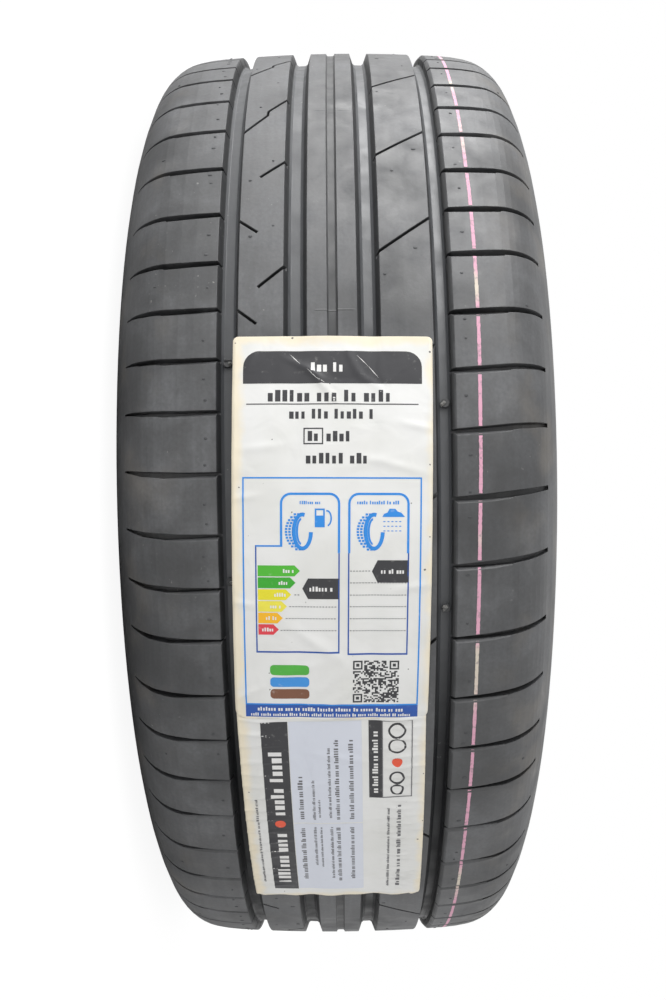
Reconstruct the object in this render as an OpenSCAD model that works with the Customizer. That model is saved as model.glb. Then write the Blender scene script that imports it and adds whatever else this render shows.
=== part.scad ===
// Car tyre lying on its sidewall, with two paper stickers and a painted line on its tread.
// The axle is Z, the middle plane of the tread is Z = 0, and the stickers face -Y.
// A place on the tread is given as [across, turn]: millimetres from the middle plane, and
// degrees round the axle from the -Y side towards -X, the way the stickers read upwards.

/* [Tyre] */
// Diameter over the middle of the tread
outer_d = 730; // [715:1:745]
// Width over the widest part of the sidewalls
section_w = 272; // [268:1:278]
// Diameter of the two bead seats
seat_d = 482; // [476:1:486]
// Width over the outer faces of the beads
bead_span = 228; // [224:1:234]

/* [Tread] */
// Radius of the slight crown across the tread
crown_r = 1200; // [900:50:1600]
// Distance from the middle plane to the end of the crown
crown_half = 80; // [78:1:84]
// Radius of the outer shoulder ribs across the tread
rib_r = 130; // [110:5:160]
// Angle that the outer shoulder ribs turn down through
rib_turn = 8; // [6:0.5:10]
// Radius of the shoulder corner
shoulder_r = 36; // [32:1:40]
// Depth of the four main grooves
groove_depth = 7.8; // [6:0.2:8.4]
// Width of the shallow groove in the centre rib
centre_w = 6.2; // [4:0.2:7]
// Depth of the shallow groove in the centre rib
centre_depth = 1.6; // [0.6:0.2:2]
// Diameter of the small round pegs on the groove floors
peg_d = 5; // [3:0.5:6]
// Height of those pegs
peg_h = 2.4; // [1:0.2:4]

/* [Shoulder slots] */
// Depth of the slots across the shoulder ribs
slot_depth = 6.4; // [4:0.2:7]
// Greatest width of the slots
slot_w = 3.6; // [3:0.1:4.2]
// Width of the chamfer along the lower edge of each slot, where it leaves the main groove
slot_chamfer = 2; // [1:0.1:2.4]
// Distance from the middle plane to the outer end of the slots
slot_end = 122; // [118:1:125]

/* [Sipes] */
// Width of the narrow cuts in the inner ribs
sipe_w = 1.9; // [1:0.1:2.4]
// Depth of the narrow cuts
sipe_depth = 5; // [2:0.2:6.4]

/* [Walls] */
// Thickness under the main grooves
under_groove = 6.4; // [5.6:0.2:8]
// Thickness of the sidewall at its widest place
side_wall = 7; // [6:0.2:9]
// Width of each bead at its seat
bead_w = 19; // [16:0.5:21]

/* [Stickers] */
// Width of the upper sticker, across the tread
upper_w = 112; // [108:1:114]
// Length of the upper sticker, round the tread
upper_len = 223; // [215:1:235]
// Width of the lower sticker, across the tread
lower_w = 110.6; // [106:0.2:112]
// Length of the lower sticker, round the tread
lower_len = 176; // [170:1:190]
// Radius of the sticker corners
paper_corner = 3.5; // [2:0.5:6]
// Thickness of the sticker paper
paper_t = 0.25; // [0.2:0.05:0.4]
// Thickness of the printed fields
ink_t = 0.05; // [0.04:0.01:0.1]
// Room left between each layer and what it lies on
layer_gap = 0.06; // [0.04:0.01:0.1]

/* [Marking line] */
// Distance from the middle plane to the painted line
line_at = 80.2; // [76:0.2:84]
// Width of the painted line
line_w = 1.8; // [1.2:0.2:3]

/* [Hidden] */
$fn = 48;

rubber = "#4d4e50";
paper = "#f0ede3";
pink = "#e7b9c7";
ink_dark = "#3c3a38";
ink_blue = "#2f56a8";
ink_silver = "#c9cbd6";

outer_r = outer_d / 2;
degree = outer_r * PI / 180;
seat_r = seat_d / 2;
over = 4;

// Points that follow the section are [across, radius]. A turn of the face is 0 on the tread
// and 90 at the widest place of the sidewall.
function away(turn) = [sin(turn), cos(turn)];
function arc(centre, r, from, to, steps) =
    [for (i = [0:steps]) centre + r * away(from + (to - from) * i / steps)];
function bezier(a, b, c, d, steps) = [for (i = [1:steps]) let (s = i / steps)
    a * pow(1 - s, 3) + 3 * b * s * pow(1 - s, 2) + 3 * c * s * s * (1 - s) + d * pow(s, 3)];
function backwards(points) = [for (i = [len(points) - 1:-1:0]) points[i]];
function other_side(points) = [for (p = backwards(points)) [-p.x, p.y]];
function raised(points, height) = [for (p = points) p + [0, height]];
// A revolved outline is drawn with the radius first
function revolved(points) = [for (p = points) [p.y, p.x]];

// Outside of one half: crown, shoulder rib, shoulder corner, sidewall and its foot, each arc
// starting where the last one ends and in the same direction
corner_turn = 60;
foot_turn = 125;
foot_r = 40;
crown_turn = asin(crown_half / crown_r);
shoulder_turn = crown_turn + rib_turn;
crown_c = [0, outer_r - crown_r];
rib_c = crown_c + (crown_r - rib_r) * away(crown_turn);
shoulder_c = rib_c + (rib_r - shoulder_r) * away(shoulder_turn);
corner_foot = shoulder_c + shoulder_r * away(corner_turn);
side_r = (section_w / 2 - corner_foot.x) / (1 - sin(corner_turn));
side_c = corner_foot - side_r * away(corner_turn);
foot_c = side_c + [side_r - foot_r, 0];
tread_half = concat(
    arc(crown_c, crown_r, 0, crown_turn, 4),
    arc(rib_c, rib_r, crown_turn + rib_turn / 2, shoulder_turn, 1),
    arc(shoulder_c, shoulder_r, shoulder_turn + 8, corner_turn, 6));
side_half = concat(
    arc(side_c, side_r, corner_turn + 6, 90, 5),
    arc(foot_c, foot_r, 97, foot_turn, 4));
function face_r(across) = lookup(abs(across), tread_half);

// Bead: rib over the rim's edge, hollow for the rim flange, heel, seat and toe
heel_r = 6;
toe_r = 3;
bead_out = bead_span / 2;
bead_in = bead_out - bead_w;
rim_rib = side_half[len(side_half) - 1] + [2, -5];
flange_top = rim_rib + [-3, -4];
flange_foot = [bead_out, seat_r + heel_r + 2];
bead_half = concat(
    [rim_rib, flange_top],
    bezier(flange_top, flange_top - [8, 1], flange_foot + [0, 8], flange_foot, 6),
    arc([bead_out, seat_r] + [-heel_r, heel_r], heel_r, 90, 180, 4),
    [[bead_in + toe_r, seat_r], [bead_in, seat_r + toe_r]]);

// Inside of one half: the outside less the wall, then a curve to the bead
crown_wall = groove_depth + under_groove;
function wall(turn) = lookup(turn, [[0, crown_wall], [shoulder_turn, crown_wall + 1],
    [35, crown_wall], [78, side_wall + 1], [90, side_wall], [112, side_wall + 2]]);
function inside(centre, r, turns) = [for (t = turns) centre + (r - wall(t)) * away(t)];
liner = concat(
    inside(crown_c, crown_r, [0, crown_turn / 2, crown_turn]),
    inside(shoulder_c, shoulder_r, [20:10:corner_turn]),
    inside(side_c, side_r, [66:6:90]),
    inside(foot_c, foot_r, [101, 112]));
liner_foot = liner[len(liner) - 1];
bead_top = [bead_in, seat_r + toe_r + 4];
inside_half = concat(liner,
    bezier(liner_foot, liner_foot - [6, 12], bead_top + [2, 17], bead_top, 6));
outside_half = concat(tread_half, side_half, bead_half);

// Stretch of the tread's face between two places
whole_face = concat(other_side(tread_half), tread_half);
function face(from, to) = concat([[from, face_r(from)]],
    [for (p = whole_face) if (p.x > from && p.x < to) p], [[to, face_r(to)]]);
// Ring that follows the face, between two heights over it
module face_ring(from, to, low, high) {
    rotate_extrude($fn = 180)
        polygon(revolved(concat(raised(face(from, to), low), backwards(raised(face(from, to), high)))));
}
// Draws flat shapes, X across and Y round, on the tread at a turn about the axle. Their Z
// points away from the axle, and lean tips it towards the lower side.
module on_tread(turn, height = 0, lean = 0) {
    rotate([0, 0, -90 - turn]) translate([height, 0, 0]) rotate([0, 0, lean])
        rotate([0, -90, 180]) children();
}
// Keeps what is drawn to a layer of the tread between two depths
module in_layer(from, to, low, high) {
    intersection() {
        face_ring(from, to, low, high);
        union() children();
    }
}

// Main grooves: edges, slopes of the two walls as a share of depth, and chamfer of each edge
main_grooves = [
    [[-67.1, -54.8], [0.36, 0.25], [0, 0]],
    [[-29.2, -15.6], [0.38, 0.36], [0, 0]],
    [[12.8, 26.1], [0.36, 0.38], [0, 0]],
    [[55.7, 67.6], [0.25, 0.14], [0, 2.2]]];
left_edge = main_grooves[0][0][1];
right_edge = main_grooves[3][0][0];
centre_at = -1.2;
floor_corner = 1.2;
function groove_side(edge, slope, chamfer, depth, corner, way) = let (
    top = face_r(edge),
    low = top - depth,
    wall_top = edge + way * chamfer,
    foot = wall_top + way * slope * (depth - chamfer))
    [[edge - way * (chamfer > 0 ? over : slope * over), top + over],
        [wall_top, top - chamfer],
        [foot - way * slope * corner, low + corner],
        [foot + way * corner, low]];
module groove_outline(edges, slopes, chamfers, depth, corner) {
    polygon(revolved(concat(
        groove_side(edges[0], slopes[0], chamfers[0], depth, corner, 1),
        backwards(groove_side(edges[1], slopes[1], chamfers[1], depth, corner, -1)))));
}
module section() {
    difference() {
        polygon(revolved(concat(other_side(outside_half), outside_half,
            backwards(inside_half), other_side(backwards(inside_half)))));
        for (g = main_grooves)
            groove_outline(g[0], g[1], g[2], groove_depth, floor_corner);
        groove_outline([centre_at - centre_w / 2, centre_at + centre_w / 2], [0.4, 0.4], [0, 0],
            centre_depth, centre_depth / 3);
    }
}

// Pairs of pegs on the floors of the outer grooves, a quarter turn apart
left_pegs = [13.5, -6.5];
right_pegs = [9.5, -9.2];
function groove_middle(g) = (main_grooves[g][0][0] + main_grooves[g][0][1]) / 2;
module pegs(g, turns) {
    middle = groove_middle(g);
    for (quarter = [0:90:270], turn = turns)
        on_tread(turn + quarter, face_r(middle) - groove_depth - over) translate([middle, 0, 0])
            cylinder(d = peg_d, h = over + peg_h);
}

// Shoulder blocks come in five lengths, in an uneven order that keeps a tyre quiet
block_turn = [["A", 4.8], ["B", 5.1], ["C", 5.5], ["D", 6], ["E", 6.7]];
left_blocks = "DDDDCAAACCAACAAACCAACCDDBCCADCDACCDABCACDBCCABEBBAAADDDECDCBEDECDB";
right_blocks = "DCBCBBDCCDDEDCBCDCBCBAACCECDECBCBDCAECDCCCAADBADDDBADACCBACDCEBDB";
left_first = 52.7;
right_first = 56.2;
function turn_of(block) = [for (b = block_turn) if (b[0] == block) b[1]][0];
function total(blocks, last) = last < 0 ? 0 : turn_of(blocks[last]) + total(blocks, last - 1);
function slot_turns(blocks, first) = let (last = len(blocks) - 1)
    [for (i = [0:last]) first - 360 * total(blocks, i) / total(blocks, last)];

// Slots start in the main groove. Their upper edge rises by the millimetres in the lists, given
// at shares of the length, and the lower edge lies below it by a share of the greatest width.
slot_start = 58;
high_cuts = [0, 0.45, 0.8, 1];
low_cuts = [0, 0.35, 0.6, 0.82, 1];
slot_cuts = [58, 84, 98, 106, 114, 122];
left_rise = [[0, 0.8], [0.45, 0.8], [0.8, 2], [1, 3.6]];
right_rise = [[0, -0.2], [0.45, 2.4], [0.8, 5], [1, 6.8]];
left_widths = [[0, 0.3], [0.35, 0.65], [0.6, 1], [0.82, 0.82], [1, 0.28]];
right_widths = [[0, 0.36], [0.35, 0.8], [0.6, 1], [0.82, 0.92], [1, 0.7]];
end_depth = 0.6;
slot_low = face_r(slot_end) - slot_depth - over;
function across_at(share) = slot_start + (slot_end - slot_start) * share;
function share_at(across) = (across - slot_start) / (slot_end - slot_start);
function high_edge(side, share) = lookup(share, side > 0 ? right_rise : left_rise);
function low_edge(side, share) = high_edge(side, share)
    - slot_w * lookup(share, side > 0 ? right_widths : left_widths);
function slot_plan(side) = concat([for (s = high_cuts) [side * across_at(s), high_edge(side, s)]],
    [for (s = backwards(low_cuts)) [side * across_at(s), low_edge(side, s)]]);
function slot_floor(a) = face_r(a) - slot_depth * (a < slot_end - 1 ? 1 : end_depth);
function slot_side(side) = concat([for (a = slot_cuts) [side * min(a, slot_end), slot_floor(a)]],
    [[side * slot_end, outer_r + over], [side * slot_start, outer_r + over]]);
module slot(side) {
    intersection() {
        translate([0, 0, slot_low]) linear_extrude(outer_r - slot_low + over) polygon(slot_plan(side));
        rotate([90, 0, 0]) translate([0, 0, -3 * slot_w]) linear_extrude(6 * slot_w) polygon(slot_side(side));
    }
}
// A chamfer that narrows outwards follows the inner part of the lower edge, in two wedges
chamfer_cuts = [63, 82, 99];
chamfer_shares = [1, 0.75, 0.3];
chamfer_in = slot_chamfer + 0.8;
chamfer_wedge = [[-over, over], [chamfer_in, -chamfer_in], [chamfer_in, over]];
function chamfer_edge(side, i) =
    low_edge(side, share_at(chamfer_cuts[i])) - slot_chamfer * chamfer_shares[i];
module chamfer(side) {
    for (i = [1:len(chamfer_cuts) - 1]) {
        from = chamfer_cuts[i - 1];
        to = chamfer_cuts[i];
        heading = atan((chamfer_edge(side, i) - chamfer_edge(side, i - 1)) / (to - from));
        fall = atan((face_r(from) - face_r(to)) / (to - from));
        translate([side * from, chamfer_edge(side, i - 1), face_r(from)])
            rotate([0, side * fall, side * heading]) rotate([90, 0, side * 90])
                linear_extrude((to - from) / cos(fall) + 0.3)
                    polygon([for (p = chamfer_wedge) [side * p.x, p.y]]);
    }
}
module shoulder_slots(side) {
    blocks = side > 0 ? right_blocks : left_blocks;
    for (turn = slot_turns(blocks, side > 0 ? right_first : left_first))
        on_tread(turn) {
            slot(side);
            chamfer(side);
        }
}

// Sipes: paths of [across, round], repeated at their turns in each third of the tread
stepped_path = [[left_edge - 3, -4.1], [-40.9, 18.2], [-40.5, 23.4], [-25.2, 42.6]];
stepped_turns = [53.6, 40.1, -8, -21.5];
inner_path = [[-25.2, 3.3], [-43.7, -12.8]];
inner_turns = [35.1, 22.4, 6, -33];
outer_path = [[left_edge - 3, 2.4], [-44.4, -8.4]];
outer_turns = [27.6, 18.1, 1, -27, -49.2];
rising_path = [[23.2, -2.6], [right_edge + 3, 26.1]];
rising_turns = [49.1, 36, 24, 10.8, -2.5, -15.5];
falling_path = [[23.2, 2.7], [right_edge + 3, -28.2]];
falling_turns = [-31, -49.4];
thirds = [0:120:240];
function strip(path, aside) = concat([for (p = path) p + aside], [for (p = backwards(path)) p - aside]);
module sipes(path, turns) {
    rise = path[1] - path[0];
    aside = sipe_w / 2 * [-rise.y, rise.x] / norm(rise);
    middle = (path[0].y + path[len(path) - 1].y) / 2;
    for (third = thirds, turn = turns)
        on_tread(turn + third + middle / degree, outer_r - sipe_depth)
            translate([0, -middle, 0]) linear_extrude(sipe_depth + over) polygon(strip(path, aside));
}
module rib_sipes() {
    sipes(stepped_path, stepped_turns);
    sipes(inner_path, inner_turns);
    sipes(outer_path, outer_turns);
    sipes(rising_path, rising_turns);
    sipes(falling_path, falling_turns);
}

module tyre() {
    color(rubber) difference() {
        union() {
            rotate_extrude($fn = 180) section();
            pegs(0, left_pegs);
            pegs(3, right_pegs);
        }
        shoulder_slots(-1);
        shoulder_slots(1);
        rib_sipes();
    }
}

// The line is painted on the blocks, so it stops at each slot
line_high = high_edge(1, share_at(line_at)) / degree;
line_low = low_edge(1, share_at(line_at)) / degree;
module marking_line() {
    turns = slot_turns(right_blocks, right_first);
    strip = face(line_at - line_w / 2, line_at + line_w / 2);
    color(pink) for (i = [0:len(turns) - 1]) {
        high = (i > 0 ? turns[i - 1] : turns[len(turns) - 1] + 360) + line_low;
        low = turns[i] + line_high;
        rotate([0, 0, -90 - high]) rotate_extrude(angle = high - low, $fn = 180)
            polygon(revolved(concat(raised(strip, layer_gap), backwards(raised(strip, layer_gap + ink_t)))));
    }
}

// Stickers: middle, turn about the axle, tip in their own plane, size, and height of the paper
// over the face. The upper one laps over the lower one, which starts under its end.
lap = 8;
upper = [-2.9, -2.1, -0.85, upper_w, upper_len, 2 * layer_gap + paper_t];
lower_turn = upper[1] - (upper_len / 2 - lap + lower_len / 2) / degree;
lower = [-3.7, lower_turn, 0.7, lower_w, lower_len, layer_gap];
sheet_from = -70;
sheet_to = 62;
// A length round the tread, as it is seen from straight above the sticker's middle
function seen(y) = outer_r * sin(y / degree);
function rounded(left, low, right, high, r) = concat(
    arc([right - r, seen(high) - r], r, 0, 90, 5), arc([right - r, seen(low) + r], r, 90, 180, 5),
    arc([left + r, seen(low) + r], r, 180, 270, 5), arc([left + r, seen(high) - r], r, 270, 360, 5));
function block(box) = [[box[0], seen(box[1])], [box[2], seen(box[1])],
    [box[2], seen(box[3])], [box[0], seen(box[3])]];
module on_sticker(s, low, high) {
    in_layer(sheet_from, sheet_to, low, high)
        on_tread(s[1]) translate([s[0], 0, 0]) rotate([0, 0, s[2]]) linear_extrude(outer_r + over) children();
}
module sheet(s) {
    on_sticker(s, s[5], s[5] + paper_t)
        polygon(rounded(-s[3] / 2, -s[4] / 2, s[3] / 2, s[4] / 2, paper_corner));
}
module print_on(s) {
    ink = s[5] + paper_t + layer_gap / 2;
    on_sticker(s, ink, ink + ink_t) children();
}
module upper_sticker() color(paper) sheet(upper);
module lower_sticker() color(paper) sheet(lower);

// Printed fields as [left, low, right, high] from the middle of their sticker
module fields(boxes) for (box = boxes) polygon(block(box));
module outline(box, stroke) {
    difference() {
        polygon(block(box));
        polygon(block(box + [stroke, stroke, -stroke, -stroke]));
    }
}
// Places near the head count from the sticker's top edge, and the rest from its foot
function from_top(length, box) = box + [0, length / 2, 0, length / 2];
function from_foot(length, box) = box - [0, length / 2, 0, length / 2];
header = from_top(upper_len, [-50, -27.6, 50, -8.8]);
header_r = 9;
bars_below = [[-36, -37.5, 34, -31.1], [-48, -39.5, 48, -38.9], [-25, -47.5, 22.5, -41.7],
    [-16.5, -61.3, -5.6, -52.7], [-4, -59.9, 13, -54.3], [-15, -72.3, 19.5, -66.5]];
upper_bars = [for (b = bars_below) from_top(upper_len, b)];
tags_above = [[-13.4, 74.5, 4.2, 86.3], [25.6, 84.1, 43, 96.7]];
tags = [for (t = tags_above) from_foot(upper_len, t)];
tag_point = 3.2;
square_code = from_foot(upper_len, [12.2, 11.5, 38.8, 37.7]);
code_cell = 4.4;
code_gaps = [[1, 1], [3, 1], [2, 2], [4, 2], [1, 3], [3, 4], [4, 4], [2, 4]];
function cell(at) = [square_code[0] + at.x * code_cell, square_code[1] + at.y * code_cell,
    square_code[0] + (at.x + 0.8) * code_cell, square_code[1] + (at.y + 0.8) * code_cell];
lower_head = lower_len / 2 - 9.4;
lower_bars = [[-42, -lower_head, -26, lower_head], [21.6, lower_head - 58.3, 29.4, lower_head]];
module dark_print() {
    color(ink_dark) {
        print_on(upper) {
            polygon(rounded(header[0], header[1], header[2], header[3], header_r));
            polygon(block([header[0], header[1], header[2], header[1] + header_r]));
            fields(upper_bars);
            for (t = tags)
                polygon(concat(block(t), [[t[0] - tag_point, (seen(t[1]) + seen(t[3])) / 2]]));
            difference() {
                polygon(block(square_code));
                for (at = code_gaps) polygon(block(cell(at)));
            }
        }
        print_on(lower) fields(lower_bars);
    }
}

frame = from_foot(upper_len, [-50, 9.5, 50, 142.9]);
stroke = 0.9;
left_chart = from_foot(upper_len, [-29, 42.5, 4.4, 134.1]);
left_step = from_foot(upper_len, [-43, 42.5, -29 + stroke, 105]);
right_chart = from_foot(upper_len, [8.8, 41.5, 43, 133.8]);
blue_band = from_foot(upper_len, [-50, 1.5, 50, 9.5]);
module blue_print() {
    color(ink_blue) print_on(upper) {
        outline(frame, stroke);
        outline(left_chart, stroke);
        outline(left_step, stroke);
        outline(right_chart, stroke);
        fields([blue_band]);
    }
}

// Six stepped bars of a rating scale, each with a pointed end
scale_colours = ["#8cc63f", "#3fa648", "#f2e23a", "#f5ee9a", "#f2962e", "#dd3b2c"];
scale_tips = [-17.9, -20.4, -22.9, -25.3, -27.7, -30];
scale_left = -41.6;
scale_top = 93.6 - upper_len / 2;
scale_pitch = 6.8;
scale_bar = 6.2;
module scale_print() {
    for (i = [0:5]) {
        high = scale_top - i * scale_pitch;
        low = high - scale_bar;
        shoulder = scale_tips[i] - scale_bar / 2;
        color(scale_colours[i]) print_on(upper)
            polygon([[scale_left, seen(low)], [shoulder, seen(low)], [scale_tips[i], seen((low + high) / 2)],
                [shoulder, seen(high)], [scale_left, seen(high)]]);
    }
}

silver_fields = [[-25.6, -lower_head, 17.5, -2.2], [-25.6, -1.2, 17.5, lower_head]];
module silver_print() color(ink_silver) print_on(lower) fields(silver_fields);

tyre();
upper_sticker();
lower_sticker();
dark_print();
blue_print();
scale_print();
silver_print();
marking_line();
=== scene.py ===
import math
import random

import bmesh
import bpy
from mathutils import Matrix, Vector
from mathutils.bvhtree import BVHTree


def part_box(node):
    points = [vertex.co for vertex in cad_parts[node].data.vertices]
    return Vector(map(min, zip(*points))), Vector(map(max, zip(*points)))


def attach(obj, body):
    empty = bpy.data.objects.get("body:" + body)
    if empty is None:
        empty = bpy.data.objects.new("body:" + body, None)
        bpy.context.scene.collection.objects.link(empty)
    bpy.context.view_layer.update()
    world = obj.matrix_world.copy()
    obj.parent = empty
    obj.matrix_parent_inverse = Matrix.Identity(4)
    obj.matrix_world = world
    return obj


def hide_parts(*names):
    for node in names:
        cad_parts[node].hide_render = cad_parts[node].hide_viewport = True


bl_info = {
    "name": "Car Tyre",
    "version": (1, 0, 0),
    "blender": (4, 5, 0),
    "location": "View3D > Sidebar > Car Tyre",
    "description": "Finishes a car tyre: moulded rubber, paper stickers and a painted line, in a pale studio",
    "category": "Object",
}

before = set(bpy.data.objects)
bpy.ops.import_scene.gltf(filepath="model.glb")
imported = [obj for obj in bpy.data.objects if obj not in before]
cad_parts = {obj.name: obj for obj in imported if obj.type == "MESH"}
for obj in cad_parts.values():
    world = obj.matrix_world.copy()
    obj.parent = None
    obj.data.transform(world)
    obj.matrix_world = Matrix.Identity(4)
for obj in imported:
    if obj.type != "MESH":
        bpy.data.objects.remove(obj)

# A place on the tread is given across it, in millimetres from the middle plane towards +Z, and by
# its turn, in degrees from the -Y side towards -X, the way the stickers read upwards.
MM = 0.001
TYRE_LOW, TYRE_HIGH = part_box("tyre")
OUTER_R = TYRE_HIGH.x / MM
# Radius of the crown, the tread's slight curve from side to side
CROWN_R = 1200.0
# Length of one degree round the tread
DEGREE = OUTER_R * math.pi / 180
# Shoulder blocks round the tyre
BLOCKS = 65


def srgb(text, alpha=1.0):
    """Linear colour of an sRGB hex value such as #8a8f94."""
    parts = [int(text[i:i + 2], 16) / 255 for i in (1, 3, 5)]
    return [c / 12.92 if c <= 0.04045 else ((c + 0.055) / 1.055) ** 2.4 for c in parts] + [alpha]


# Geometry helpers

def spoke(turn):
    """Direction away from the axle at a turn in degrees."""
    return Vector((-math.sin(math.radians(turn)), -math.cos(math.radians(turn)), 0))


def at(across, turn, radius):
    """Point of the tyre's frame in metres, from a place and a radius in millimetres."""
    return spoke(turn) * radius * MM + Vector((0, 0, across * MM))


def face_radius(across):
    """Radius of the uncut tread face."""
    return OUTER_R - across * across / (2 * CROWN_R)


def tread_tree():
    """The tyre's surface, ready to be searched by rays."""
    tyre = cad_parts["tyre"]
    return BVHTree.FromObject(tyre, bpy.context.evaluated_depsgraph_get())


def surface(tree, across, turn):
    """Radius of the tyre under a place, and its outward normal."""
    start = at(across, turn, OUTER_R + 30)
    hit, normal, _, _ = tree.ray_cast(start, -spoke(turn))
    if hit is None:
        return None, None
    return math.hypot(hit.x, hit.y) / MM, normal


def make_object(name, verts, faces, material, smooth=True, uvs=None):
    """A new piece that rides on the tyre. Its uvs are places on the flat sheet, in metres."""
    mesh = bpy.data.meshes.new(name)
    mesh.from_pydata([tuple(v) for v in verts], [], faces)
    mesh.update()
    if uvs:
        layer = mesh.uv_layers.new(name="sheet")
        for loop in mesh.loops:
            layer.data[loop.index].uv = uvs[loop.vertex_index]
    for polygon in mesh.polygons:
        polygon.use_smooth = smooth
    piece = bpy.data.objects.new(name, mesh)
    bpy.context.scene.collection.objects.link(piece)
    mesh.materials.append(material)
    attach(piece, "root")
    return piece


# Materials

def add(tree, kind, settings=None, inputs=None):
    """Adds a node with its settings, and its inputs as plain values or as other nodes and sockets."""
    node = tree.nodes.new("ShaderNode" + kind)
    for name, value in (settings or {}).items():
        setattr(node, name, value)
    for name, value in (inputs or {}).items():
        if isinstance(value, bpy.types.Node):
            tree.links.new(value.outputs[0], node.inputs[name])
        elif isinstance(value, bpy.types.NodeSocket):
            tree.links.new(value, node.inputs[name])
        else:
            node.inputs[name].default_value = value
    return node


# Numbers of the colour sockets of a Mix node, whose names are shared with its other sockets
MIX_A = 6
MIX_B = 7
MIX_RESULT = 2
SMOOTH = {"interpolation_type": "SMOOTHSTEP"}
COLOURS = {"data_type": "RGBA"}
SHADES = {"data_type": "RGBA", "blend_type": "MULTIPLY"}
TIMES = {"operation": "MULTIPLY"}
MINUS = {"operation": "SUBTRACT"}
PLUS = {"operation": "ADD"}


def grain_scale(size_mm):
    """Scale of a noise whose blotches are about this many millimetres across."""
    return 0.6 / (size_mm * MM)


def start_material(name, roughness, ior):
    """A new material with its node tree and its shader."""
    material = bpy.data.materials.new(name)
    material.use_nodes = True
    tree = material.node_tree
    shader = tree.nodes["Principled BSDF"]
    shader.inputs["Roughness"].default_value = roughness
    shader.inputs["IOR"].default_value = ior
    return material, tree, shader


# Joints of the mould round the tread, and spacing of the fitting ribs at the beads in millimetres
MOULD_JOINTS = 14
FITTING_RIB_PITCH = 3.2


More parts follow.
